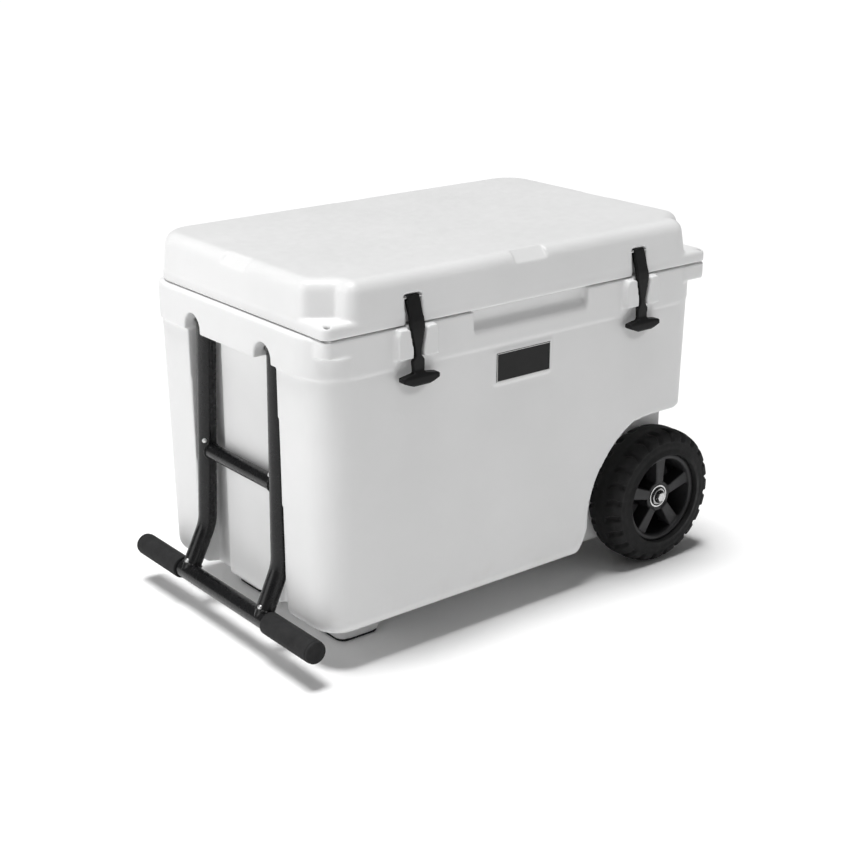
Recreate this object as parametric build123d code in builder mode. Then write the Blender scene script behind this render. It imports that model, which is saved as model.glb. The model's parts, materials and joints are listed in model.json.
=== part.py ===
"""Hard-sided wheeled cooler: moulded tub and lid, pull handle, two rubber latches, two wheels.

Frame: origin on the floor at the middle of the plan, +Z up, +X towards the wheels,
-Y towards the latches. Millimetres.
"""

import math
import os

from build123d import *

os.makedirs("parts", exist_ok=True)

# ---- driving dimensions -------------------------------------------------------------------
total_height = 492.0
seam_z = 430.0
seam_gap = 0.9
body_bottom_z = 48.0
skin = 4.0

# lid
lid_length = 632.0
lid_depth = 402.0
flange_top_z = 447.0
notch_x = 283.0
notch_y = -176.0
notch_run = 24.0
crown_slope = 6.0
crown_round = 17.0
back_corner_r = 52.0
lug_hole_x = 307.0
lug_hole_y = -193.0
lug_hole_r = 4.0
scallop_width = 54.0
scallop_z = 477.5

# body block, as its outline at the seam
body_left = -320.0
body_right = 309.5
body_half_depth = 200.5
body_draft = 1.0
body_corner_r = 48.0
bottom_round = 18.0
rim_left = -325.0
rim_right = 313.5
rim_half_depth = 201.0
rim_bottom_z = 381.0
rim_corner_r = 55.0

# recesses for the handle in the left end
arm_y = 81.0
arm_splay = 8.0
channel_width = 42.0
channel_floor_x = -289.0
panel_x = -296.5
notch_width = 36.5
notch_top_z = 405.3

# wheels and wheel wells
wheel_x = 256.4
wheel_r = 97.5
wheel_inner_y = 142.0
wheel_outer_y = 200.0
rim_r = 64.0
well_wall_y = 139.0
well_r = 141.4
well_top_z = 228.0
axle_r = 8.0
housing_bottom_z = 31.0
housing_right_x = 312.5

# tub
tub_left = -270.0
tub_right = 262.0
tub_half_depth = 153.0
tub_step_z = 264.0
tub_low_right = 76.0
tub_tongue_right = 222.0
tub_tongue_half_depth = 92.0
tub_floor_z = 104.0
liner = 3.0

# handle
pivot_x = -303.2
pivot_z = 391.5
tube_r = 12.25
tube_wall = 2.0
bend_x = -311.3
bend_z = 115.0
bar_x = -341.9
bar_z = 51.0
bar_r = 12.0
bar_half_length = 203.6
grip_r = 15.0
grip_start_y = 105.0
rung_z = 219.0
rung_r = 10.0
pin_r = 5.0
running = 0.05

# latches
latch_x = 187.0
latch_pivot_y = -195.5
latch_pivot_z = 462.5
latch_pin_r = 2.0
latch_eye_r = 3.2

# hinge
hinge_y = 208.3
hinge_z = 430.0
hinge_r = 7.0
hinge_rod_r = 3.0
hinge_centres = [-190.0, 190.0]

# drain
drain_z = 123.0
drain_r = 8.0


# ---- shared forms -------------------------------------------------------------------------
def well_outline(grow):
    """Side outline of a wheel well, enlarged by grow, as a sketch on the XZ plane."""
    start = (wheel_x - well_r, 86.7)
    crest = (193.4, 224.0)
    angle = math.radians(150)
    middle = (wheel_x + well_r * math.cos(angle), wheel_r + well_r * math.sin(angle))
    with BuildSketch(Plane.XZ) as outline:
        with BuildLine():
            Line((101.0, 20.0), (103.6, 58.6))
            Line((103.6, 58.6), start)
            ThreePointArc(start, middle, crest)
            Line(crest, (222.0, well_top_z))
            Line((222.0, well_top_z), (345.0, well_top_z))
            Line((345.0, well_top_z), (345.0, 20.0))
            Line((345.0, 20.0), (101.0, 20.0))
        make_face()
        if grow > 0:
            offset(amount=grow)
    return outline.sketch


def housing_form(inset):
    """Axle housing between the wheels, with soft lower and outer edges."""
    length = housing_right_x - 110.0 - 2 * inset
    height = well_top_z + 20 - housing_bottom_z - inset
    with BuildPart() as housing:
        with BuildSketch(Plane((110.0 + inset + length / 2, 0, housing_bottom_z + inset))):
            Rectangle(length, 2 * (well_wall_y - inset))
        extrude(amount=height)
        fillet(housing.edges().filter_by(Axis.Z).group_by(Axis.X)[-1], radius=14.0 - inset)
        fillet(housing.faces().sort_by(Axis.Z)[0].edges(), radius=10.0 - inset)
    return housing.part


def body_form(inset):
    """The moulded body block, drawn inset on every face, with its recesses enlarged to suit."""
    well = well_outline(inset)
    with BuildPart() as form:
        low_z = body_bottom_z + inset
        high_z = seam_z - seam_gap / 2
        middle_x = (body_left + body_right) / 2
        length = body_right - body_left - 2 * inset
        with BuildSketch(Plane((middle_x, 0, high_z), x_dir=(1, 0, 0), z_dir=(0, 0, -1))):
            RectangleRounded(length, 2 * (body_half_depth - inset), body_corner_r - inset)
        extrude(amount=high_z - low_z, taper=body_draft)
        fillet(form.faces().sort_by(Axis.Z)[0].edges(), radius=bottom_round - inset)
        # proud band under the lid
        rim_x = (rim_left + rim_right) / 2
        rim_length = rim_right - rim_left - 2 * inset
        with BuildSketch(Plane((rim_x, 0, rim_bottom_z + inset))):
            RectangleRounded(rim_length, 2 * (rim_half_depth - inset), rim_corner_r - inset)
        extrude(amount=high_z - rim_bottom_z - inset)
        # wheel wells on both sides, then the axle housing between them
        for side in (-1, 1):
            with BuildSketch(Plane.XZ.offset(-side * (well_wall_y - inset))):
                add(well)
            extrude(amount=-side * 100, mode=Mode.SUBTRACT)
        add(housing_form(inset))
        # channels for the handle arms and the sunk panel between them
        for side in (-1, 1):
            with BuildSketch(Plane((0, side * arm_y, 20))):
                with Locations(((-360 + channel_floor_x + inset) / 2, 0)):
                    Rectangle(360 + channel_floor_x + inset, channel_width + 2 * inset)
            extrude(amount=rim_bottom_z - 20 + inset, mode=Mode.SUBTRACT)
        with BuildSketch(Plane.XY.offset(20)):
            with Locations(((-360 + panel_x + inset) / 2, 0)):
                Rectangle(360 + panel_x + inset, 2 * arm_y)
        extrude(amount=rim_bottom_z - 20 + inset, mode=Mode.SUBTRACT)
        # arched notches through the band, one over each arm
        arch_r = notch_width / 2 + inset
        for side in (-1, 1):
            with BuildSketch(Plane.YZ.offset(-360)):
                with Locations((side * arm_y, notch_top_z + inset - arch_r)):
                    Circle(arch_r)
                with Locations((side * arm_y, notch_top_z + inset - arch_r - 20)):
                    Rectangle(2 * arch_r, 40)
            extrude(amount=360 + channel_floor_x + inset, mode=Mode.SUBTRACT)
        # finger recess under the lid's front edge
        with BuildSketch(Plane.YZ) as grip_section:
            with BuildLine():
                Polyline(
                    (-215, 445), (-190.5, 445), (-191, 414), (-201.3, 399), (-215, 399), close=True
                )
            make_face()
            if inset > 0:
                offset(amount=inset, kind=Kind.INTERSECTION)
        extrude(amount=95 + inset, both=True, mode=Mode.SUBTRACT)
        # scooped pockets behind the latch handles
        for x in (-latch_x, latch_x):
            with Locations((x, -269.0, 370.0)):
                Sphere(75.0 + inset, mode=Mode.SUBTRACT)
    return form.part


def crown_outline(inset, height):
    """Lid outline with its two front corners notched, as a sketch at the given height."""
    half = lid_length / 2 - inset
    depth = lid_depth / 2 - inset
    inner_x = notch_x - inset
    inner_y = notch_y + inset
    with BuildSketch(Plane.XY.offset(height)) as outline:
        with BuildLine():
            Polyline(
                (-inner_x, -depth),
                (inner_x, -depth),
                (inner_x, inner_y),
                (half, inner_y + notch_run),
                (half, depth),
                (-half, depth),
                (-half, inner_y + notch_run),
                (-inner_x, inner_y),
                close=True,
            )
        make_face()
        fillet(outline.vertices().group_by(Axis.Y)[-1], radius=back_corner_r - inset)
        side_corners = [v for v in outline.vertices() if abs(abs(v.X) - half) < 0.1 and v.Y < 0]
        fillet(side_corners, radius=20.0)
        fillet(outline.vertices().group_by(Axis.Y)[0], radius=18.0)
        concave = [
            v
            for v in outline.vertices()
            if abs(abs(v.X) - inner_x) < 0.1 and abs(v.Y - inner_y) < 0.1
        ]
        fillet(concave, radius=6.0)
    return outline.sketch


def crown_form(inset, bottom_z):
    """The raised part of the lid, inset on the top and sides, from bottom_z upwards."""
    with BuildPart() as crown:
        add(crown_outline(inset, bottom_z))
        add(crown_outline(inset + crown_slope, total_height - inset))
        loft(ruled=True)
        fillet(crown.faces().sort_by(Axis.Z)[-1].edges(), radius=crown_round - inset)
    return crown.part


def latch_slots():
    """Slots in the lid's front for the latch straps."""
    with BuildPart() as slots:
        with BuildSketch(Plane.XZ.offset(-(latch_pivot_y + 3.5))):
            with Locations((-latch_x, 440), (latch_x, 440)):
                Rectangle(25.0, 54.0)
        extrude(amount=30)
    return slots.part


def rod_along_y(x, z, r, y_from, y_to):
    """Round rod parallel to Y."""
    with BuildPart() as rod:
        with BuildSketch(Plane((x, y_from, z), x_dir=(1, 0, 0), z_dir=(0, 1, 0))):
            Circle(r)
        extrude(amount=y_to - y_from)
    return rod.part


def rod_along_x(y, z, r, x_from, x_to):
    """Round rod parallel to X."""
    with BuildPart() as rod:
        with BuildSketch(Plane((x_from, y, z), x_dir=(0, 1, 0), z_dir=(1, 0, 0))):
            Circle(r)
        extrude(amount=x_to - x_from)
    return rod.part


def tub_form(grow, top_z):
    """Cold-box space: a full-width upper part, a deep left part and a tongue by the wheels."""
    with BuildPart() as space:
        with BuildSketch(Plane(((tub_left + tub_right) / 2, 0, tub_step_z - grow))):
            RectangleRounded(
                tub_right - tub_left + 2 * grow, 2 * (tub_half_depth + grow), 18 + grow
            )
        extrude(amount=top_z - tub_step_z + grow)
        with BuildSketch(Plane(((tub_left + tub_low_right) / 2, 0, tub_floor_z - grow))):
            RectangleRounded(
                tub_low_right - tub_left + 2 * grow, 2 * (tub_half_depth + grow), 18 + grow
            )
        extrude(amount=tub_step_z - tub_floor_z + grow)
        with BuildSketch(Plane((tub_tongue_right / 2, 0, tub_floor_z - grow))):
            Rectangle(tub_tongue_right + 2 * grow, 2 * (tub_tongue_half_depth + grow))
        extrude(amount=tub_step_z - tub_floor_z + grow)
    return space.part


body_top_z = seam_z - seam_gap / 2
lid_bottom_z = seam_z + seam_gap / 2
liner_outer = tub_form(liner, body_top_z)
tub_space = tub_form(0, seam_z)
slots = latch_slots()
tub_middle = (tub_left + tub_right) / 2
with BuildPart() as foam_core:
    add(body_form(skin))
    with BuildSketch(Plane.XY.offset(body_top_z - liner)):
        Rectangle(800, 600)
    extrude(amount=20, mode=Mode.SUBTRACT)
with BuildPart() as liner_flange:
    with BuildSketch(Plane((tub_middle, 0, body_top_z - liner))):
        RectangleRounded(tub_right - tub_left + 44, 2 * tub_half_depth + 44, 40)
    extrude(amount=liner)
axle_space = rod_along_y(wheel_x, wheel_r, axle_r, -190.0, 190.0)
pivot_spaces = [rod_along_y(pivot_x, pivot_z, pin_r, s * arm_y - 26, s * arm_y + 26) for s in (-1, 1)]
drain_space = rod_along_x(0, drain_z, 12.0, tub_tongue_right, housing_right_x)

# ---- body ---------------------------------------------------------------------------------
with BuildPart() as outer_shell:
    add(body_form(0))
    # lugs at the front corners, below the lid's own
    for side in (-1, 1):
        with BuildSketch(Plane((side * 291.0, -180.0, 408.0))):
            RectangleRounded(50.0, 42.0, 12.0)
        extrude(amount=body_top_z - 408.0)
    # keeper horns on each side of both straps
    for x in (-latch_x, latch_x):
        for side in (-1, 1):
            with BuildSketch(Plane.XZ.offset(196)) as horn:
                with BuildLine():
                    Polyline(
                        (x + side * 13.2, 428.0),
                        (x + side * 27.0, 428.0),
                        (x + side * 30.0, 420.0),
                        (x + side * 30.0, 391.5),
                        (x + side * 7.4, 391.5),
                        (x + side * 7.4, 400.0),
                        close=True,
                    )
                make_face()
                fillet(horn.vertices().sort_by(Axis.Z)[0:2], radius=2.5)
            extrude(amount=14.5)
    # feet at the handle end
    for side in (-1, 1):
        with BuildSketch(Plane((-216.0, side * 92.0, 4.0))):
            RectangleRounded(66.0, 68.0, 14.0)
        with BuildSketch(Plane((-216.0, side * 92.0, 52.0))):
            RectangleRounded(100.0, 84.0, 18.0)
        loft(ruled=True)
    # raised surround of the badge
    with BuildSketch(Plane.XZ.offset(196)):
        with Locations((-13.5, 350.5)):
            RectangleRounded(95.0, 43.0, 2.0)
    extrude(amount=4.6)
    with BuildSketch(Plane.XZ.offset(199.6)):
        with Locations((-13.5, 350.5)):
            Rectangle(90.0, 38.0)
    extrude(amount=5, mode=Mode.SUBTRACT)
    add(foam_core.part, mode=Mode.SUBTRACT)
    add(liner_flange.part, mode=Mode.SUBTRACT)
    # knuckles of the lid hinge
    for x in hinge_centres:
        for side in (-1, 1):
            with BuildSketch(Plane.YZ.offset(x + side * 26.0)):
                with Locations((hinge_y, hinge_z)):
                    Circle(hinge_r)
                with BuildLine():
                    Polyline(
                        (199.0, 410.0), (hinge_y, 423.2), (hinge_y, 428.0), (199.0, 428.0), close=True
                    )
                make_face()
            extrude(amount=8.0, both=True)
        rod = rod_along_x(hinge_y, hinge_z, hinge_rod_r, x - 34, x + 34)
        add(rod, mode=Mode.SUBTRACT)
    # bores
    with Locations((-lug_hole_x, lug_hole_y, 418.0), (lug_hole_x, lug_hole_y, 418.0)):
        Cylinder(lug_hole_r, 30.0, mode=Mode.SUBTRACT)
    add(axle_space, mode=Mode.SUBTRACT)
    for space in pivot_spaces:
        add(space, mode=Mode.SUBTRACT)
    add(drain_space, mode=Mode.SUBTRACT)
outer_shell.part.label = "outer_shell"
export_step(outer_shell.part, "parts/outer_shell.step")

# insulation boards between the shell and the liner, each cut from the foam core
end_x = channel_floor_x + skin
deep_x = tub_low_right + liner
well_x = 99.0
tongue_x = tub_tongue_right + liner
inner_left = tub_left - liner
inner_right = tub_right + liner
inner_y = tub_half_depth + liner
tongue_y = tub_tongue_half_depth + liner
housing_y = well_wall_y - skin
floor_top = tub_floor_z - liner
step_top = tub_step_z - liner
well_top = well_top_z + skin
band_low = rim_bottom_z + skin
recess_low = 399.0 - skin
boards = [
    (-340, end_x, -56, 56, 0, band_low),
    (-340, end_x, -400, -106, 0, band_low),
    (-340, end_x, 106, 400, 0, band_low),
    (-340, end_x, -400, 400, band_low, 440),
    (end_x, inner_left, -400, 400, floor_top, 440),
    (end_x, well_x, -400, 400, 0, floor_top),
    (well_x, 400, -housing_y, housing_y, 0, floor_top),
    (inner_left, well_x, -400, -inner_y, floor_top, recess_low),
    (inner_left, -well_x, -400, -inner_y, recess_low, 440),
    (-well_x, well_x, -400, -inner_y, recess_low, 440),
    (inner_left, well_x, inner_y, 400, floor_top, 440),
    (deep_x, well_x, -inner_y, -tongue_y, floor_top, step_top),
    (deep_x, well_x, tongue_y, inner_y, floor_top, step_top),
    (well_x, tongue_x, -housing_y, -tongue_y, floor_top, well_top),
    (well_x, tongue_x, tongue_y, housing_y, floor_top, well_top),
    (tongue_x, 400, -housing_y, housing_y, floor_top, well_top),
    (well_x, tongue_x, -400, -tongue_y, well_top, step_top),
    (well_x, tongue_x, tongue_y, 400, well_top, step_top),
    (tongue_x, 400, -400, 400, well_top, step_top),
    (inner_right, 400, -400, 400, step_top, 440),
    (well_x, inner_right, -400, -inner_y, step_top, 440),
    (well_x, inner_right, inner_y, 400, step_top, 440),
]
for x_from, x_to in ((well_x, 118), (118, 145), (145, 222)):
    boards.append((x_from, x_to, -400, -housing_y, 0, well_top))
    boards.append((x_from, x_to, housing_y, 400, 0, well_top))
with BuildPart() as insulation_foam:
    for x_from, x_to, y_from, y_to, z_from, z_to in boards:
        with Locations(((x_from + x_to) / 2, (y_from + y_to) / 2, (z_from + z_to) / 2)):
            Box(x_to - x_from - 0.2, y_to - y_from - 0.2, z_to - z_from - 0.2)
    add(foam_core.part, mode=Mode.INTERSECT)
    add(liner_outer, mode=Mode.SUBTRACT)
    add(axle_space, mode=Mode.SUBTRACT)
    for space in pivot_spaces:
        add(space, mode=Mode.SUBTRACT)
    add(drain_space, mode=Mode.SUBTRACT)
insulation_foam.part.label = "insulation_foam"
export_step(insulation_foam.part, "parts/insulation_foam.step")

with BuildPart() as inner_liner:
    add(liner_flange.part)
    add(liner_outer)
    add(tub_space, mode=Mode.SUBTRACT)
    add(drain_space, mode=Mode.SUBTRACT)
    with BuildSketch(Plane.YZ.offset(tub_tongue_right - 1)):
        with Locations((0, drain_z)):
            Circle(drain_r)
    extrude(amount=20, mode=Mode.SUBTRACT)
inner_liner.part.label = "inner_liner"
export_step(inner_liner.part, "parts/inner_liner.step")

with BuildPart() as foot_pads:
    for side in (-1, 1):
        with BuildSketch(Plane((-216.0, side * 92.0, 0))):
            RectangleRounded(62.0, 64.0, 12.0)
        extrude(amount=4.0)
    fillet(foot_pads.faces().filter_by(Axis.Z).group_by(Axis.Z)[0].edges(), radius=1.2)
foot_pads.part.label = "foot_pads"
export_step(foot_pads.part, "parts/foot_pads.step")

with BuildPart() as badge_plate:
    with BuildSketch(Plane.XZ.offset(199.6)):
        with Locations((-13.5, 350.5)):
            Rectangle(89.4, 37.4)
    extrude(amount=1.4)
    chamfer(badge_plate.faces().sort_by(Axis.Y)[0].edges(), length=0.5)
badge_plate.part.label = "badge_plate"
export_step(badge_plate.part, "parts/badge_plate.step")

with BuildPart() as hinge_rods:
    for x in hinge_centres:
        add(rod_along_x(hinge_y, hinge_z, hinge_rod_r, x - 34, x + 34))
hinge_rods.part.label = "hinge_rods"
export_step(hinge_rods.part, "parts/hinge_rods.step")

with BuildPart() as axle:
    add(rod_along_y(wheel_x, wheel_r, axle_r, -190.0, 190.0))
    for side in (-1, 1):
        add(
            rod_along_y(wheel_x, wheel_r, 3.4, side * 190.0 - 15, side * 190.0 + 15),
            mode=Mode.SUBTRACT,
        )
axle.part.label = "axle"
export_step(axle.part, "parts/axle.step")

with BuildPart() as axle_washers:
    for side in (-1, 1):
        y_mid = side * 191.0
        add(rod_along_y(wheel_x, wheel_r, 11.5, y_mid - 0.7, y_mid + 0.7))
        add(rod_along_y(wheel_x, wheel_r, 3.4, y_mid - 2, y_mid + 2), mode=Mode.SUBTRACT)
axle_washers.part.label = "axle_washers"
export_step(axle_washers.part, "parts/axle_washers.step")

with BuildPart() as axle_bolts:
    for side in (-1, 1):
        with BuildSketch(Plane((wheel_x, side * 191.7, wheel_r), x_dir=(1, 0, 0), z_dir=(0, side, 0))):
            RegularPolygon(6.6, 6)
        extrude(amount=5.0)
        add(rod_along_y(wheel_x, wheel_r, 3.4, side * 184.0 - 8, side * 184.0 + 8))
axle_bolts.part.label = "axle_bolts"
export_step(axle_bolts.part, "parts/axle_bolts.step")

with BuildPart() as handle_pins:
    for side in (-1, 1):
        add(rod_along_y(pivot_x, pivot_z, pin_r, side * arm_y - 26, side * arm_y + 26))
handle_pins.part.label = "handle_pins"
export_step(handle_pins.part, "parts/handle_pins.step")

with BuildPart() as drain_insert:
    add(rod_along_x(0, drain_z, 12.0, tub_tongue_right + liner, housing_right_x))
    add(rod_along_x(0, drain_z, 18.0, housing_right_x, housing_right_x + 2))
    add(rod_along_x(0, drain_z, drain_r, 200.0, 330.0), mode=Mode.SUBTRACT)
drain_insert.part.label = "drain_insert"
export_step(drain_insert.part, "parts/drain_insert.step")

# ---- lid ----------------------------------------------------------------------------------
with BuildPart() as scallops:
    for side in (-1, 1):
        outer, inner = side * (lid_depth / 2 - 4.7), side * (lid_depth / 2 - 20.0)
        with BuildSketch(Plane.YZ):
            with BuildLine():
                Polyline(
                    (outer, scallop_z), (side * 230, scallop_z), (inner, 530), (inner, 492.8), close=True
                )
            make_face()
        extrude(amount=scallop_width / 2, both=True)
        outer, inner = side * (lid_length / 2 - 4.7), side * (lid_length / 2 - 20.0)
        with BuildSketch(Plane.XZ):
            with BuildLine():
                Polyline(
                    (outer, scallop_z), (side * 345, scallop_z), (inner, 530), (inner, 492.8), close=True
                )
            make_face()
        extrude(amount=scallop_width / 2, both=True)
with BuildPart() as lid_shell:
    with BuildSketch(Plane.XY.offset(lid_bottom_z)) as flange:
        Rectangle(lid_length, lid_depth)
        fillet(flange.vertices().group_by(Axis.Y)[-1], radius=back_corner_r)
        fillet(flange.vertices().group_by(Axis.Y)[0], radius=12.0)
    extrude(amount=flange_top_z - lid_bottom_z)
    fillet(lid_shell.faces().sort_by(Axis.Z)[-1].edges(), radius=6.0)
    add(crown_form(0, 436.0))
    # shallow scallops in the middle of each upper edge
    add(scallops.part, mode=Mode.SUBTRACT)
    add(slots, mode=Mode.SUBTRACT)
    # shallow seat for the lid's lining
    with BuildSketch(Plane((tub_middle, 0, lid_bottom_z))):
        RectangleRounded(tub_right - tub_left + 44, 2 * tub_half_depth + 44, 40)
    extrude(amount=liner, mode=Mode.SUBTRACT)
    # hinge knuckles
    for x in hinge_centres:
        with BuildSketch(Plane.YZ.offset(x)):
            with Locations((hinge_y, hinge_z)):
                Circle(hinge_r)
            with BuildLine():
                Polyline((199.5, 432.0), (hinge_y, 432.0), (hinge_y, 436.8), (199.5, 444.0), close=True)
            make_face()
        extrude(amount=17.5, both=True)
        rod = rod_along_x(hinge_y, hinge_z, hinge_rod_r + running, x - 30, x + 30)
        add(rod, mode=Mode.SUBTRACT)
    with Locations((-lug_hole_x, lug_hole_y, 440.0), (lug_hole_x, lug_hole_y, 440.0)):
        Cylinder(lug_hole_r, 30.0, mode=Mode.SUBTRACT)
    for x in (-latch_x, latch_x):
        pin = rod_along_x(latch_pivot_y, latch_pivot_z, latch_pin_r, x - 19, x + 19)
        add(pin, mode=Mode.SUBTRACT)
lid_shell.part.label = "lid_shell"
export_step(lid_shell.part, "parts/lid_shell.step")

with BuildPart() as lid_liner:
    with BuildSketch(Plane((tub_middle, 0, lid_bottom_z))):
        RectangleRounded(tub_right - tub_left + 44, 2 * tub_half_depth + 44, 40)
    extrude(amount=liner)
    with BuildSketch(Plane((tub_middle, 0, 421.0))):
        RectangleRounded(tub_right - tub_left - 14, 2 * tub_half_depth - 14, 12)
    extrude(amount=lid_bottom_z - 421.0)
    fillet(lid_liner.faces().sort_by(Axis.Z)[0].edges(), radius=3.0)
lid_liner.part.label = "lid_liner"
export_step(lid_liner.part, "parts/lid_liner.step")

with BuildPart() as lid_gasket:
    with BuildSketch(Plane((tub_middle, 0, body_top_z))):
        RectangleRounded(tub_right - tub_left + 26, 2 * tub_half_depth + 26, 32)
        RectangleRounded(tub_right - tub_left + 12, 2 * tub_half_depth + 12, 26, mode=Mode.SUBTRACT)
    extrude(amount=lid_bottom_z - body_top_z)
lid_gasket.part.label = "lid_gasket"
export_step(lid_gasket.part, "parts/lid_gasket.step")

with BuildPart() as latch_pins:
    for x in (-latch_x, latch_x):
        add(rod_along_x(latch_pivot_y, latch_pivot_z, latch_pin_r, x - 19, x + 19))
latch_pins.part.label = "latch_pins"
export_step(latch_pins.part, "parts/latch_pins.step")


# ---- latches ------------------------------------------------------------------------------
def latch_form(x):
    """Rubber T-latch: eye at the top, tapering strap, shoulders and a cross handle."""
    with BuildPart() as latch:
        with BuildSketch(Plane.XZ.offset(180)) as front:
            with BuildLine():
                right = [
                    (9.4, latch_pivot_z + latch_eye_r),
                    (9.6, 442.0),
                    (10.6, 430.0),
                    (4.4, 400.0),
                    (4.4, 394.5),
                    (8.8, 388.0),
                    (7.6, 373.0),
                    (27.0, 370.0),
                    (27.0, 364.5),
                    (12.0, 358.5),
                ]
                left = [(-px, pz) for px, pz in reversed(right)]
                Polyline([(x + px, pz) for px, pz in right + left], close=True)
            make_face()
            fillet(front.vertices().group_by(Axis.Z)[0:3], radius=1.8)
        extrude(amount=45)
        with BuildSketch(Plane.YZ.offset(x)):
            with Locations((latch_pivot_y, latch_pivot_z)):
                Circle(latch_eye_r)
            with BuildLine():
                Polyline(
                    (latch_pivot_y + 3.1, latch_pivot_z - 0.8),
                    (-193.6, 456.0),
                    (-202.2, 434.0),
                    (-203.2, 425.0),
                    (-203.6, 374.0),
                    (-205.0, 352.0),
                    (-212.0, 352.0),
                    (-216.4, 361.0),
                    (-215.6, 369.0),
                    (-210.0, 376.0),
                    (-208.8, 427.0),
                    (-207.4, 436.0),
                    (latch_pivot_y - 3.0, latch_pivot_z + 1.1),
                    close=True,
                )
            make_face()
        extrude(amount=60, both=True, mode=Mode.INTERSECT)
        eye = rod_along_x(latch_pivot_y, latch_pivot_z, latch_pin_r + running, x - 30, x + 30)
        add(eye, mode=Mode.SUBTRACT)
    return latch.part


with BuildPart() as latch_left:
    add(latch_form(-latch_x))
latch_left.part.label = "latch_left"
export_step(latch_left.part, "parts/latch_left.step")

with BuildPart() as latch_right:
    add(latch_form(latch_x))
latch_right.part.label = "latch_right"
export_step(latch_right.part, "parts/latch_right.step")


# ---- handle -------------------------------------------------------------------------------
def arm_rod(y, r, top_z):
    """Bent rod of radius r along one arm, from top_z down to the pull bar."""
    share = (pivot_z - top_z) / (pivot_z - bend_z)
    bend_y = y + math.copysign(0.8 * arm_splay, y)
    low_y = y + math.copysign(arm_splay, y)
    top = (pivot_x + share * (bend_x - pivot_x), y + share * (bend_y - y), top_z)
    with BuildPart() as rod:
        with BuildLine() as path:
            FilletPolyline(top, (bend_x, bend_y, bend_z), (bar_x, low_y, bar_z), radius=60)
        with BuildSketch(Plane(path.line @ 0, z_dir=path.line % 0)):
            Circle(r)
        sweep()
    return rod.part


def arm_form(y):
    """Tubular arm with a rounded, bored head and a coped lower end."""
    with BuildPart() as arm:
        add(arm_rod(y, tube_r, pivot_z))
        add(arm_rod(y, tube_r - tube_wall, 372.0), mode=Mode.SUBTRACT)
        with Locations((pivot_x, y, pivot_z)):
            Sphere(tube_r)
        add(rod_along_y(pivot_x, pivot_z, pin_r + running, y - 20, y + 20), mode=Mode.SUBTRACT)
        add(rod_along_y(bar_x, bar_z, bar_r, y - 50, y + 50), mode=Mode.SUBTRACT)
    solids = arm.part.solids().sort_by(SortBy.VOLUME)
    return solids[-1]


with BuildPart() as arm_front:
    add(arm_form(-arm_y))
arm_front.part.label = "arm_front"
export_step(arm_front.part, "parts/arm_front.step")

with BuildPart() as arm_rear:
    add(arm_form(arm_y))
arm_rear.part.label = "arm_rear"
export_step(arm_rear.part, "parts/arm_rear.step")

rung_x = pivot_x + (pivot_z - rung_z) / (pivot_z - bend_z) * (bend_x - pivot_x)
with BuildPart() as cross_tube:
    add(rod_along_y(rung_x, rung_z, rung_r, -arm_y - 5, arm_y + 5))
    add(rod_along_y(rung_x, rung_z, rung_r - tube_wall, -arm_y - 5, arm_y + 5), mode=Mode.SUBTRACT)
    for side in (-1, 1):
        add(arm_rod(side * arm_y, tube_r, pivot_z), mode=Mode.SUBTRACT)
cross_tube.part.label = "cross_tube"
export_step(cross_tube.part, "parts/cross_tube.step")

with BuildPart() as pull_bar:
    add(rod_along_y(bar_x, bar_z, bar_r, -bar_half_length, bar_half_length))
    add(rod_along_y(bar_x, bar_z, bar_r - tube_wall, -300, 300), mode=Mode.SUBTRACT)
pull_bar.part.label = "pull_bar"
export_step(pull_bar.part, "parts/pull_bar.step")


def grip_form(side):
    """Soft sleeve over one end of the pull bar."""
    low, high = sorted((side * grip_start_y, side * bar_half_length))
    with BuildPart() as grip:
        add(rod_along_y(bar_x, bar_z, grip_r, low, high))
        fillet(grip.edges().filter_by(GeomType.CIRCLE), radius=1.5)
        add(rod_along_y(bar_x, bar_z, bar_r, low - 1, high + 1), mode=Mode.SUBTRACT)
    return grip.part


with BuildPart() as grip_front:
    add(grip_form(-1))
grip_front.part.label = "grip_front"
export_step(grip_front.part, "parts/grip_front.step")

with BuildPart() as grip_rear:
    add(grip_form(1))
grip_rear.part.label = "grip_rear"
export_step(grip_rear.part, "parts/grip_rear.step")

with BuildPart() as bar_end_caps:
    for side in (-1, 1):
        inner, outer = side * (bar_half_length - 12), side * (bar_half_length + 4)
        shoulder = side * bar_half_length
        low, high = sorted((shoulder, outer))
        add(rod_along_y(bar_x, bar_z, grip_r - 0.6, low, high))
        low, high = sorted((inner, shoulder))
        add(rod_along_y(bar_x, bar_z, bar_r - tube_wall, low, high))
    for side in (-1, 1):
        fillet(bar_end_caps.faces().sort_by(Axis.Y)[-1 if side > 0 else 0].edges(), radius=2.0)
bar_end_caps.part.label = "bar_end_caps"
export_step(bar_end_caps.part, "parts/bar_end_caps.step")


# ---- wheels -------------------------------------------------------------------------------
def wheel_plane(side, y):
    """Plane square to the axle at distance y from the middle, facing outwards."""
    return Plane((wheel_x, side * y, wheel_r), x_dir=(0, 0, 1), z_dir=(0, side, 0))


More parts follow.
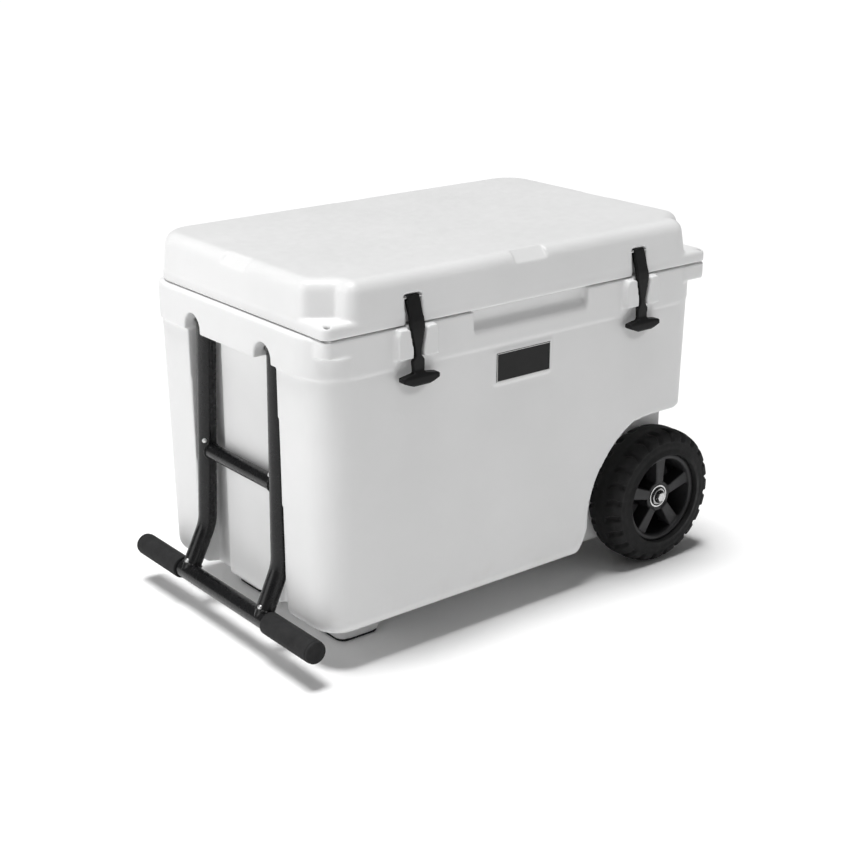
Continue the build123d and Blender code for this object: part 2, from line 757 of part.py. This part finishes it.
def tyre_form(side):
    """Solid tyre with rounded shoulders and staggered blocks cut into both shoulders."""
    with BuildPart() as tyre:
        with BuildSketch(wheel_plane(side, wheel_inner_y)):
            Circle(wheel_r)
        extrude(amount=wheel_outer_y - wheel_inner_y)
        fillet(tyre.edges().filter_by(GeomType.CIRCLE), radius=13.0)
        with BuildSketch(wheel_plane(side, wheel_inner_y - 1)):
            Circle(rim_r)
        extrude(amount=wheel_outer_y - wheel_inner_y + 2, mode=Mode.SUBTRACT)
        for start, phase in ((wheel_inner_y - 1, 8.0), (wheel_outer_y - 21, 0.0)):
            with BuildSketch(wheel_plane(side, start)):
                with PolarLocations(wheel_r, 22, start_angle=phase):
                    Rectangle(9.0, 7.0)
            extrude(amount=22, mode=Mode.SUBTRACT)
        with BuildSketch(wheel_plane(side, (wheel_inner_y + wheel_outer_y) / 2 - 2)):
            Circle(wheel_r + 2)
            Circle(wheel_r - 3.5, mode=Mode.SUBTRACT)
        extrude(amount=4, mode=Mode.SUBTRACT)
    return tyre.part


def rim_form(side):
    """Five-spoke wheel centre with a barrel, a hub and a thin inner web."""
    with BuildPart() as rim:
        with BuildSketch(wheel_plane(side, 146.0)):
            Circle(rim_r)
            Circle(56.0, mode=Mode.SUBTRACT)
        extrude(amount=51.0)
        with BuildSketch(wheel_plane(side, 150.0)):
            Circle(58.0)
        extrude(amount=4.0)
        with BuildSketch(wheel_plane(side, 148.0)):
            Circle(22.0)
        extrude(amount=42.0)
        with BuildSketch(wheel_plane(side, 170.0)):
            with PolarLocations(40.0, 5):
                Trapezoid(19.0, 40.0, 86.0, rotation=90)
        extrude(amount=22.0)
        outer_faces = rim.faces().filter_by(Axis.Y).sort_by(Axis.Y)
        chamfer(outer_faces[-1 if side > 0 else 0].edges(), length=2.0)
        with BuildSketch(wheel_plane(side, 140.0)):
            Circle(16.0)
        extrude(amount=60.0, mode=Mode.SUBTRACT)
    return rim.part


def bearing_form(side):
    """Two bearings pressed into the hub, one at each end."""
    with BuildPart() as pair:
        for start in (148.0, 180.0):
            with BuildSketch(wheel_plane(side, start)):
                Circle(16.0)
                Circle(axle_r + running, mode=Mode.SUBTRACT)
            extrude(amount=10.0)
    return pair.part


with BuildPart() as tyre_front:
    add(tyre_form(-1))
tyre_front.part.label = "tyre_front"
export_step(tyre_front.part, "parts/tyre_front.step")

with BuildPart() as tyre_rear:
    add(tyre_form(1))
tyre_rear.part.label = "tyre_rear"
export_step(tyre_rear.part, "parts/tyre_rear.step")

with BuildPart() as rim_front:
    add(rim_form(-1))
rim_front.part.label = "rim_front"
export_step(rim_front.part, "parts/rim_front.step")

with BuildPart() as rim_rear:
    add(rim_form(1))
rim_rear.part.label = "rim_rear"
export_step(rim_rear.part, "parts/rim_rear.step")

with BuildPart() as bearings_front:
    add(bearing_form(-1))
bearings_front.part.label = "bearings_front"
export_step(bearings_front.part, "parts/bearings_front.step")

with BuildPart() as bearings_rear:
    add(bearing_form(1))
bearings_rear.part.label = "bearings_rear"
export_step(bearings_rear.part, "parts/bearings_rear.step")

# ---- drain plug ---------------------------------------------------------------------------
cap_face_x = housing_right_x + 2.0
with BuildPart() as drain_seal:
    add(rod_along_x(0, drain_z, 15.0, cap_face_x, cap_face_x + 2.0))
    add(rod_along_x(0, drain_z, drain_r + 2.0, cap_face_x - 1, cap_face_x + 3.0), mode=Mode.SUBTRACT)
drain_seal.part.label = "drain_seal"
export_step(drain_seal.part, "parts/drain_seal.step")

with BuildPart() as drain_plug:
    add(rod_along_x(0, drain_z, drain_r - running, cap_face_x - 22, cap_face_x + 2.3))
    add(rod_along_x(0, drain_z, 17.0, cap_face_x + 2.3, cap_face_x + 9.0))
    with BuildSketch(Plane.YZ.offset(cap_face_x + 9.0)):
        with Locations((0, drain_z)):
            SlotOverall(30.0, 8.0)
    extrude(amount=9.0)
    fillet(drain_plug.faces().sort_by(Axis.X)[-1].edges(), radius=1.5)
drain_plug.part.label = "drain_plug"
export_step(drain_plug.part, "parts/drain_plug.step")
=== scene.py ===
import json
import math

import bmesh
import bpy
import numpy as np
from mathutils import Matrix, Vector


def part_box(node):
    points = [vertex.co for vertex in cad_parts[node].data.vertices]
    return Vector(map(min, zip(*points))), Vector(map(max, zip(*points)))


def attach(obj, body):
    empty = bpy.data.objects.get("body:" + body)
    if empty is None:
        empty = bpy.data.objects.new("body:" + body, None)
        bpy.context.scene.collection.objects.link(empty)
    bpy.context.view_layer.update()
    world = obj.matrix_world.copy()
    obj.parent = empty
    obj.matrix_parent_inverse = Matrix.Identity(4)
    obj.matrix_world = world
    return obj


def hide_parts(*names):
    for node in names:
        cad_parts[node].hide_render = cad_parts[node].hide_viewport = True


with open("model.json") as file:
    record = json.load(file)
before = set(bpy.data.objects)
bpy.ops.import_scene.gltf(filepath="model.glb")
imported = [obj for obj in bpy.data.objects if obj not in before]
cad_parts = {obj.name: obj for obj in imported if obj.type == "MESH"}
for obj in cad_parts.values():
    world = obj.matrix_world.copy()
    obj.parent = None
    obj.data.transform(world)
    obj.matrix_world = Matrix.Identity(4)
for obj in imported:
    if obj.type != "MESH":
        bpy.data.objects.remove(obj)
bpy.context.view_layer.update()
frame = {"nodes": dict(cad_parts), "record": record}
nodes = frame["nodes"]

# lengths are in metres and angles in degrees, unless a comment says otherwise
sensor_width = 36.0
camera_at = (-1.2950, -1.6218, 0.9460)
camera_azimuth = -38.2535
camera_pitch = 19.5224
camera_lens = sensor_width * 1593.875 / 846.0
far_clip = 1500.0
sky_strength = 0.12
floor_half = 900
weld_ripples = 17

# tyres
bead_r = 0.0638
belly_r = 0.0765
shoulder = 0.66
blocks = 24
gap_depth = 0.0034
groove_depth = 0.0026
rib_height = 0.0007
valley_depth = 0.0009
bead_inset = 0.0045
tread_margin = 0.0006
side_margin = 0.0012

# hubs and handle
bearing_face_y = 0.1902
arm_r = 0.01225
bend_z = 0.115


# ---------------------------------------------------------------- camera, floor and light
def look_from(location, azimuth, pitch, lens):
    a = math.radians(azimuth)
    e = math.radians(pitch)
    back = Vector((math.sin(a) * math.cos(e), -math.cos(a) * math.cos(e), math.sin(e)))
    data = bpy.data.cameras.new("camera")
    data.lens = lens
    data.sensor_width = sensor_width
    data.clip_end = far_clip
    camera = bpy.data.objects.new("camera", data)
    camera.location = location
    camera.rotation_euler = (-back).to_track_quat("-Z", "Y").to_euler()
    bpy.context.scene.collection.objects.link(camera)
    bpy.context.scene.camera = camera


look_from(camera_at, camera_azimuth, camera_pitch, camera_lens)


def add_sun(name, direction, strength, angle):
    data = bpy.data.lights.new(name, "SUN")
    data.energy = strength
    data.angle = math.radians(angle)
    lamp = bpy.data.objects.new(name, data)
    lamp.rotation_euler = Vector(direction).to_track_quat("-Z", "Y").to_euler()
    bpy.context.scene.collection.objects.link(lamp)


def add_panel(name, location, target, size, power):
    data = bpy.data.lights.new(name, "AREA")
    data.shape = "RECTANGLE"
    data.size, data.size_y = size
    data.energy = power
    lamp = bpy.data.objects.new(name, data)
    lamp.location = location
    aim = Vector(target) - Vector(location)
    lamp.rotation_euler = aim.to_track_quat("-Z", "Y").to_euler()
    bpy.context.scene.collection.objects.link(lamp)


add_sun("key", direction=(0.12, -0.02, -0.98), strength=3.1, angle=22.0)
add_panel(
    "side", location=(-1.75, 0.25, 0.85), target=(-0.3, 0.0, 0.25), size=(0.9, 1.5), power=8.9
)
add_panel(
    "fill", location=(1.9, -1.9, 1.0), target=(0.25, -0.2, 0.2), size=(0.8, 0.8), power=2.0
)

world = bpy.data.worlds.new("studio")
world.use_nodes = True
sky = world.node_tree.nodes["Background"]
sky.inputs["Color"].default_value = (1.0, 1.0, 1.0, 1.0)
sky.inputs["Strength"].default_value = sky_strength
bpy.context.scene.world = world
bpy.context.scene.view_settings.view_transform = "Standard"


# ---------------------------------------------------------------- materials
class Graph:
    """Small helper that adds and links nodes of one material."""

    def __init__(self, name):
        self.material = bpy.data.materials.new(name)
        self.material.use_nodes = True
        self.tree = self.material.node_tree
        self.shader = self.tree.nodes["Principled BSDF"]
        self.space = self.tree.nodes.new("ShaderNodeTexCoord").outputs["Object"]

    def put(self, socket, value):
        if isinstance(value, bpy.types.NodeSocket):
            self.tree.links.new(value, socket)
        else:
            socket.default_value = value

    def noise(self, scale, detail=3.0, roughness=0.55, stretch=None):
        node = self.tree.nodes.new("ShaderNodeTexNoise")
        vector = self.space
        if stretch:
            mapping = self.tree.nodes.new("ShaderNodeMapping")
            mapping.inputs["Scale"].default_value = stretch
            self.tree.links.new(self.space, mapping.inputs["Vector"])
            vector = mapping.outputs["Vector"]
        self.tree.links.new(vector, node.inputs["Vector"])
        node.inputs["Scale"].default_value = scale
        node.inputs["Detail"].default_value = detail
        node.inputs["Roughness"].default_value = roughness
        return node.outputs["Fac"]

    def cells(self, scale):
        node = self.tree.nodes.new("ShaderNodeTexVoronoi")
        node.feature = "F1"
        self.tree.links.new(self.space, node.inputs["Vector"])
        node.inputs["Scale"].default_value = scale
        return node.outputs["Distance"]

    def ramp(self, value, start, end, low=0.0, high=1.0):
        node = self.tree.nodes.new("ShaderNodeMapRange")
        node.inputs["From Min"].default_value = start
        node.inputs["From Max"].default_value = end
        node.inputs["To Min"].default_value = low
        node.inputs["To Max"].default_value = high
        self.put(node.inputs["Value"], value)
        return node.outputs["Result"]

    def maths(self, operation, a, b):
        node = self.tree.nodes.new("ShaderNodeMath")
        node.operation = operation
        self.put(node.inputs[0], a)
        self.put(node.inputs[1], b)
        return node.outputs[0]

    def blend(self, factor, a, b):
        node = self.tree.nodes.new("ShaderNodeMix")
        node.data_type = "RGBA"
        self.put(node.inputs["Factor"], factor)
        for socket, value in ((node.inputs[6], a), (node.inputs[7], b)):
            if isinstance(value, tuple):
                value = (*value, 1.0)
            self.put(socket, value)
        return node.outputs[2]

    def height(self):
        node = self.tree.nodes.new("ShaderNodeSeparateXYZ")
        self.tree.links.new(self.space, node.inputs[0])
        return node.outputs["Z"]

    def bump(self, *layers):
        normal = None
        for value, strength, distance in layers:
            node = self.tree.nodes.new("ShaderNodeBump")
            node.inputs["Strength"].default_value = strength
            node.inputs["Distance"].default_value = distance
            self.tree.links.new(value, node.inputs["Height"])
            if normal:
                self.tree.links.new(normal, node.inputs["Normal"])
            normal = node.outputs["Normal"]
        self.tree.links.new(normal, self.shader.inputs["Normal"])

    def finish(self, colour, roughness, **fixed):
        self.put(self.shader.inputs["Base Color"], colour)
        self.put(self.shader.inputs["Roughness"], roughness)
        for name, value in fixed.items():
            self.shader.inputs[name.replace("_", " ")].default_value = value
        return self.material


def moulded_white(name, light, shade, rough):
    """Rotomoulded polyethylene: orange-peel skin, faint clouding, scuffed roughness, darker
    brownish patches low down.
    """
    g = Graph(name)
    cloud = g.ramp(g.noise(7.0, 4.0), 0.35, 0.7)
    colour = g.blend(cloud, light, shade)
    speck = g.ramp(g.noise(420.0, 2.0, 0.7), 0.66, 0.74, 0.0, 0.35)
    colour = g.blend(speck, colour, tuple(c * 0.93 for c in shade))
    # darker brownish patches towards the bottom, fading out 11 cm above the floor
    near_floor = g.ramp(g.height(), 0.11, 0.02)
    blotches = g.maths("MULTIPLY", near_floor, g.ramp(g.noise(38.0, 5.0), 0.5, 0.75))
    colour = g.blend(g.maths("MULTIPLY", blotches, 0.30), colour, (0.62, 0.60, 0.56))
    scuff = g.ramp(g.noise(60.0, 6.0, 0.7, (1.0, 1.0, 7.0)), 0.62, 0.75, 0.0, 0.12)
    peel = g.noise(700.0, 2.0)
    wave = g.noise(24.0, 2.0)
    g.bump((wave, 0.10, 0.0012), (peel, 0.16, 0.00025), (g.noise(2600.0, 2.0), 0.10, 0.0001))
    sheen = g.ramp(g.noise(90.0, 4.0), 0.3, 0.7, rough - 0.05, rough + 0.06)
    return g.finish(colour, g.maths("ADD", sheen, scuff), IOR=1.50)


def foam_board(name):
    """Cream insulation board with a fine cell structure."""
    g = Graph(name)
    cell = g.ramp(g.cells(240.0), 0.0, 0.6)
    colour = g.blend(cell, (0.80, 0.73, 0.52), (0.64, 0.55, 0.36))
    g.bump((g.cells(300.0), 0.5, 0.0008))
    return g.finish(colour, g.ramp(g.noise(50.0), 0.3, 0.7, 0.82, 0.95))


def black_rubber(name, tone, rough, grain, strength, dust_tone=0.05, blotches=0.25):
    """Moulded rubber: fine grain and pale dust in patches."""
    g = Graph(name)
    base = (tone, tone, tone * 1.03)
    colour = g.blend(g.ramp(g.noise(30.0, 4.0), 0.35, 0.7), base, tuple(c * 1.45 for c in base))
    patch = g.ramp(g.noise(75.0, 6.0, 0.7), 0.52, 0.76, 0.0, blotches)
    colour = g.blend(patch, colour, (dust_tone, dust_tone * 0.98, dust_tone * 0.94))
    g.bump((g.noise(grain, 3.0), strength, 0.0004), (g.noise(grain * 4, 2.0), strength, 0.00012))
    roughness = g.ramp(g.noise(110.0, 4.0), 0.3, 0.7, rough - 0.06, rough + 0.08)
    return g.finish(colour, roughness, Specular_IOR_Level=0.22)


def powder_coat(name):
    """Semi-gloss black powder coat over steel tube, with fine pebbling and pale scratches."""
    g = Graph(name)
    cloud = g.ramp(g.noise(18.0, 4.0), 0.35, 0.7)
    colour = g.blend(cloud, (0.005, 0.005, 0.0055), (0.009, 0.009, 0.0095))
    scratch = g.ramp(g.noise(95.0, 6.0, 0.7, (1.0, 1.0, 6.0)), 0.66, 0.78, 0.0, 0.35)
    colour = g.blend(scratch, colour, (0.030, 0.030, 0.032))
    fleck = g.ramp(g.noise(900.0, 2.0, 0.7), 0.68, 0.75, 0.0, 0.4)
    colour = g.blend(fleck, colour, (0.028, 0.028, 0.030))
    g.bump((g.noise(1100.0, 2.0), 0.20, 0.0002), (g.noise(60.0, 2.0), 0.05, 0.0008))
    roughness = g.ramp(g.noise(80.0, 4.0), 0.3, 0.7, 0.22, 0.32)
    return g.finish(
        colour, roughness, Specular_IOR_Level=0.28, Coat_Weight=0.10, Coat_Roughness=0.16
    )


def machined(name, tone, rough):
    """Turned steel: fine streaks round the axle and faint brown spots."""
    g = Graph(name)
    streak = g.noise(260.0, 4.0, 0.6, (1.0, 14.0, 1.0))
    colour = g.blend(g.ramp(streak, 0.35, 0.7), (tone,) * 3, (tone * 0.72,) * 3)
    spots = g.ramp(g.noise(90.0, 5.0), 0.60, 0.75, 0.0, 0.35)
    colour = g.blend(spots, colour, (0.30, 0.26, 0.22))
    g.bump((streak, 0.12, 0.0002))
    roughness = g.ramp(g.noise(120.0, 3.0), 0.3, 0.7, rough, rough + 0.14)
    return g.finish(colour, roughness, Metallic=1.0)


def wheel_plastic(name):
    """Textured dark plastic with a little dust."""
    g = Graph(name)
    cloud = g.ramp(g.noise(26.0, 4.0), 0.35, 0.7)
    colour = g.blend(cloud, (0.018, 0.018, 0.019), (0.028, 0.028, 0.030))
    blotches = g.ramp(g.noise(90.0, 6.0, 0.7), 0.5, 0.78, 0.0, 0.35)
    colour = g.blend(blotches, colour, (0.045, 0.044, 0.042))
    g.bump((g.noise(950.0, 2.0), 0.25, 0.00025), (g.noise(120.0, 2.0), 0.06, 0.0005))
    roughness = g.ramp(g.noise(120.0, 3.0), 0.3, 0.7, 0.42, 0.55)
    return g.finish(colour, roughness, Specular_IOR_Level=0.35)


looks = {
    "shell_white": moulded_white("shell_white", (0.80, 0.80, 0.80), (0.765, 0.767, 0.765), 0.42),
    "liner_white": moulded_white("liner_white", (0.78, 0.79, 0.79), (0.73, 0.745, 0.75), 0.36),
    "drain_white": moulded_white("drain_white", (0.74, 0.74, 0.73), (0.69, 0.69, 0.68), 0.40),
    "foam": foam_board("foam"),
    "seal_rubber": black_rubber("seal_rubber", 0.008, 0.62, 500.0, 0.25, 0.03),
    "pad_rubber": black_rubber("pad_rubber", 0.015, 0.75, 300.0, 0.4, 0.07),
    "badge_black": black_rubber("badge_black", 0.005, 0.38, 900.0, 0.12, 0.02, 0.12),
    "steel": machined("steel", 0.62, 0.24),
    "bearing_steel": machined("bearing_steel", 0.72, 0.18),
    "handle_paint": powder_coat("handle_paint"),
    "grip_foam": black_rubber("grip_foam", 0.016, 0.80, 620.0, 0.55, 0.04, 0.25),
    "latch_rubber": black_rubber("latch_rubber", 0.005, 0.48, 800.0, 0.18, 0.02, 0.16),
    "tyre_rubber": black_rubber("tyre_rubber", 0.008, 0.66, 420.0, 0.35, 0.03, 0.30),
    "rim_plastic": wheel_plastic("rim_plastic"),
}
slot_of = {s["node"]: s["material_slot"] for s in frame["record"]["subparts"]}
body_of = {n: b for b, names in frame["record"]["behaviour"]["bodies"].items() for n in names}
for name, thing in nodes.items():
    thing.data.materials.clear()
    thing.data.materials.append(looks[slot_of[name]])


# ---------------------------------------------------------------- pieces
def place(name, mesh, body, slot):
    """Adds a smooth-shaded piece that rides on a body and has a slot's look."""
    piece = bpy.data.objects.new(name, mesh)
    bpy.context.scene.collection.objects.link(piece)
    mesh.materials.clear()
    mesh.materials.append(looks[slot])
    for face in mesh.polygons:
        face.use_smooth = True
    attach(piece, body)
    return piece


def softened(node, voxel, passes):
    """A copy of a moulded piece with every edge rounded, as it comes out of a mould."""
    mesh = nodes[node].data.copy()
    work = bmesh.new()
    work.from_mesh(mesh)
    bmesh.ops.remove_doubles(work, verts=work.verts, dist=1e-6)
    work.to_mesh(mesh)
    work.free()
    source = bpy.data.objects.new(node + "_work", mesh)
    bpy.context.scene.collection.objects.link(source)
    remesh = source.modifiers.new("remesh", "REMESH")
    remesh.mode = "VOXEL"
    remesh.voxel_size = voxel
    relax = source.modifiers.new("relax", "SMOOTH")
    relax.factor = 0.5
    relax.iterations = passes
    graph = bpy.context.evaluated_depsgraph_get()
    result = bpy.data.meshes.new_from_object(source.evaluated_get(graph), depsgraph=graph)
    bpy.data.objects.remove(source)
    result.name = node + "_soft"
    piece = place(node + "_soft", result, body_of[node], slot_of[node])
    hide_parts(node)


def grid_mesh(name, points, close_u=True, close_v=False):
    """Mesh of quads over a rows x columns grid of points."""
    rows, columns = points.shape[:2]
    faces = []
    for i in range(rows if close_u else rows - 1):
        for j in range(columns if close_v else columns - 1):
            k = (i + 1) % rows
            m = (j + 1) % columns
            faces.append((i * columns + j, i * columns + m, k * columns + m, k * columns + j))
    mesh = bpy.data.meshes.new(name)
    mesh.from_pydata(points.reshape(-1, 3).tolist(), [], faces)
    mesh.update()
    return mesh


def unit(*direction):
    """The direction as an array of length one."""
    direction = np.array(direction)
    return direction / np.linalg.norm(direction)


def square_to(axis):
    """The axis as an array, and two directions square to it and to each other."""
    axis = np.array(axis, float)
    helper = np.array((0.0, 0.0, 1.0)) if abs(axis[2]) < 0.9 else np.array((1.0, 0.0, 0.0))
    side = unit(*np.cross(axis, helper))
    return axis, side, np.cross(axis, side)


def ring(name, centre, axis, major, minor, body, slot, steps=64, around=14, ripple=0.0):
    """Round bead about an axis, with an optional ripple as a weld has."""
    axis, side, other = square_to(axis)
    points = np.zeros((steps, around, 3))
    for i in range(steps):
        a = 2 * math.pi * i / steps
        out = math.cos(a) * side + math.sin(a) * other
        thick = minor * (1.0 + ripple * math.sin(weld_ripples * a))
        for j in range(around):
            b = 2 * math.pi * j / around
            radius = major + thick * math.cos(b)
            points[i, j] = centre + out * radius + axis * thick * math.sin(b)
    return place(name, grid_mesh(name, points, True, True), body, slot)


def lathe(name, centre, axis, profile, body, slot, steps=72):
    """Turned piece: rows of (distance along the axis, radius) spun about the axis."""
    axis, side, other = square_to(axis)
    points = np.zeros((steps, len(profile), 3))
    for i in range(steps):
        a = 2 * math.pi * i / steps
        out = math.cos(a) * side + math.sin(a) * other
        for j, (along, radius) in enumerate(profile):
            points[i, j] = centre + axis * along + out * radius
    return place(name, grid_mesh(name, points, True, False), body, slot)


def rise(value, start, width):
    """0 up to the start, then rising evenly to 1 over the width."""
    return min(max((value - start) / width, 0.0), 1.0)


def rounded(value):
    """A sine or cosine drawn out towards 1, which turns a circle into a squarer section."""
    return math.copysign(abs(value) ** shoulder, value)


def tread_cut(turn, u, v):
    """Depth of the gaps between the blocks and of the centre groove, at one spot."""
    row = (turn * blocks + (0.5 if u < 0 else 0.0) + 0.10 * math.sin(6.0 * u)) % 1.0
    gap = 1.0 - rise(abs(row - 0.5), 0.11, 0.07)
    reach = rise(abs(u), 0.30, 0.08) * rise(v, 0.30, 0.18)
    slot_depth = gap_depth * gap * reach if v > 0 else 0.0
    return slot_depth + groove_depth * (1.0 - rise(abs(u), 0.05, 0.04)) * (v > 0.5)


def tyre(node, side):
    """Round-shouldered tyre with a centre groove, two rows of staggered blocks and ribs."""
    box_low, box_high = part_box(node)
    outer_r = (box_high[2] - box_low[2]) / 2
    centre_x = (box_high[0] + box_low[0]) / 2
    centre_z = (box_high[2] + box_low[2]) / 2
    centre_y = (box_high[1] + box_low[1]) / 2
    half = (box_high[1] - box_low[1]) / 2
    crown = outer_r - belly_r
    steps = blocks * 16
    columns = 88
    foot = (belly_r - bead_r) / crown
    low_turn = math.asin(foot ** (1 / shoulder))
    spread = np.linspace(-low_turn, math.pi + low_turn, columns)
    points = np.zeros((steps, columns + 2, 3))
    for i in range(steps):
        turn = i / steps
        angle = 2 * math.pi * turn
        sin_a, cos_a = math.sin(angle), math.cos(angle)
        for j, t in enumerate(spread):
            # u goes across the tread from -1 to 1, v out from the widest point
            u = rounded(math.cos(t))
            v = rounded(math.sin(t))
            ridge = rib_height * math.exp(-(((v - 0.22) / 0.05) ** 2))
            valley = valley_depth * math.exp(-(((v + 0.10) / 0.05) ** 2))
            sunk = bead_inset * rise(-v, 0.12, 0.45) ** 1.5
            cut = tread_cut(turn, u, v) + tread_margin
            shrink = 1.0 - cut / math.hypot(half * u, crown * v)
            y = half * u * shrink + math.copysign(ridge - valley - side_margin - sunk, u)
            radius = belly_r + crown * v * shrink
            points[i, j + 1] = (
                centre_x + radius * sin_a, centre_y + side * y, centre_z + radius * cos_a
            )
        # the two edge rows turn in over the seat of the wheel centre
        for j, k in ((0, 1), (columns + 1, columns)):
            y = points[i, k][1] + (centre_y - points[i, k][1]) * 0.3
            points[i, j] = (centre_x + bead_r * sin_a, y, centre_z + bead_r * cos_a)
    mesh = grid_mesh(node + "_round", points, True, True)
    piece = place(node + "_round", mesh, body_of[node], slot_of[node])
    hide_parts(node)


tyre("tyre_front", -1)
tyre("tyre_rear", 1)

# hubs: black seal and bright lip on each washer, black shield on each bearing
wheel_low, wheel_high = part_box("rim_front")
hub = ((wheel_low[0] + wheel_high[0]) / 2, (wheel_low[2] + wheel_high[2]) / 2)
washer_low, washer_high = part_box("axle_washers")
seal = ((0.0, 0.0060), (0.0003, 0.0061), (0.0004, 0.0078), (0.0003, 0.0094), (0.0, 0.0095))
shield = ((0.0, 0.0119), (0.0004, 0.0121), (0.0004, 0.0138), (0.0, 0.0140))
for side, name in ((-1, "front"), (1, "rear")):
    outward = (0.0, side, 0.0)
    centre = np.array((hub[0], abs(washer_low[1]) * side, hub[1]))
    lathe("seal_" + name, centre, outward, seal, "tub", "seal_rubber")
    ring("lip_" + name, centre, outward, 0.0105, 0.0008, "tub", "bearing_steel")
    centre = np.array((hub[0], side * bearing_face_y, hub[1]))
    lathe("shield_" + name, centre, outward, shield, "wheel_" + name, "seal_rubber")

# handle: weld beads, and the small bright rivets beside the joints
rung_low, rung_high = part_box("cross_tube")
rung = np.array(((rung_low[0] + rung_high[0]) / 2, 0.0, (rung_low[2] + rung_high[2]) / 2))
rung_r = (rung_high[2] - rung_low[2]) / 2
bar_low, bar_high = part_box("pull_bar")
bar = np.array(((bar_low[0] + bar_high[0]) / 2, 0.0, (bar_low[2] + bar_high[2]) / 2))
arm_low, arm_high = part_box("arm_rear")
foot_y = arm_high[1] - arm_r
top_y = arm_low[1] + arm_r
rung_share = (arm_high[2] - rung[2]) / (arm_high[2] - bend_z)
rung_y = top_y + 0.8 * rung_share * (foot_y - top_y)
dome = [
    (0.0009 * math.cos(t) * 2.2, 0.0034 * math.sin(t)) for t in np.linspace(0.02, math.pi / 2, 10)
]
lean = unit(0.43, 0.0, 0.90)
out = unit(-0.90, -0.22, 0.43)
for side, name in ((-1, "front"), (1, "rear")):
    joint = rung + np.array((0.0, side * (rung_y - arm_r * 0.86), 0.0))
    weld = ("handle", "handle_paint")
    ring("rung_weld_" + name, joint, (0.0, 1.0, 0.0), rung_r + 0.0003, 0.0013, *weld, 96, 12, 0.22)
    arm_end = bar + np.array((0.0, side * foot_y, 0.0))
    foot = arm_end + lean * 0.0112
    ring("bar_weld_" + name, foot, tuple(lean), arm_r + 0.0002, 0.0013, *weld, 120, 12, 0.22)
    spot = arm_end + lean * 0.0140 + out * (arm_r - 0.0002)
    lathe("bar_rivet_" + name, spot, tuple(out), dome, "handle", "steel", 40)
    aim = np.array((-0.70, -0.71 * side, 0.0))
    spot = np.array((rung[0], side * rung_y, rung[2] + 0.015)) + aim * (arm_r - 0.0004)
    lathe("rung_rivet_" + name, spot, tuple(aim), dome, "handle", "steel", 40)

# badge: plain dark plate with a fine light border
plate_low, plate_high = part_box("badge_plate")
inset, width, raised = 0.0004, 0.0007, 0.0003
corners = []
for grow in (0.0, width):
    x0, x1 = plate_low[0] + inset + grow, plate_high[0] - inset - grow
    z0, z1 = plate_low[2] + inset + grow, plate_high[2] - inset - grow
    corners.append(((x0, z0), (x1, z0), (x1, z1), (x0, z1)))
front_y = plate_low[1]
points = np.zeros((4, 4, 3))
for i, (outer, inner) in enumerate(zip(*corners)):
    points[i, 0] = (outer[0], front_y, outer[1])
    points[i, 1] = (outer[0], front_y - raised, outer[1])
    points[i, 2] = (inner[0], front_y - raised, inner[1])
    points[i, 3] = (inner[0], front_y, inner[1])
border_mesh = grid_mesh("badge_border", points, True, False)
border = place("badge_border", border_mesh, "tub", "drain_white")
for face in border.data.polygons:
    face.use_smooth = False

# mouldings with rounded edges
softened("outer_shell", 0.0020, 5)
softened("lid_shell", 0.0018, 5)
for name in ("latch_left", "latch_right"):
    softened(name, 0.0009, 4)
for name in ("rim_front", "rim_rear"):
    softened(name, 0.0011, 3)

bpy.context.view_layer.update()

floor_mesh = bpy.data.meshes.new("floor")
floor_corners = [
    (x * floor_half, y * floor_half, 0) for x, y in ((-1, -1), (1, -1), (1, 1), (-1, 1))
]
floor_mesh.from_pydata(floor_corners, [], [(0, 1, 2, 3)])
floor = bpy.data.objects.new("floor", floor_mesh)
bpy.context.scene.collection.objects.link(floor)
paper = bpy.data.materials.new("paper")
paper.use_nodes = True
matt = paper.node_tree.nodes["Principled BSDF"]
matt.inputs["Base Color"].default_value = (0.97, 0.97, 0.97, 1.0)
matt.inputs["Roughness"].default_value = 0.9
matt.inputs["Specular IOR Level"].default_value = 0.1
floor_mesh.materials.append(paper)
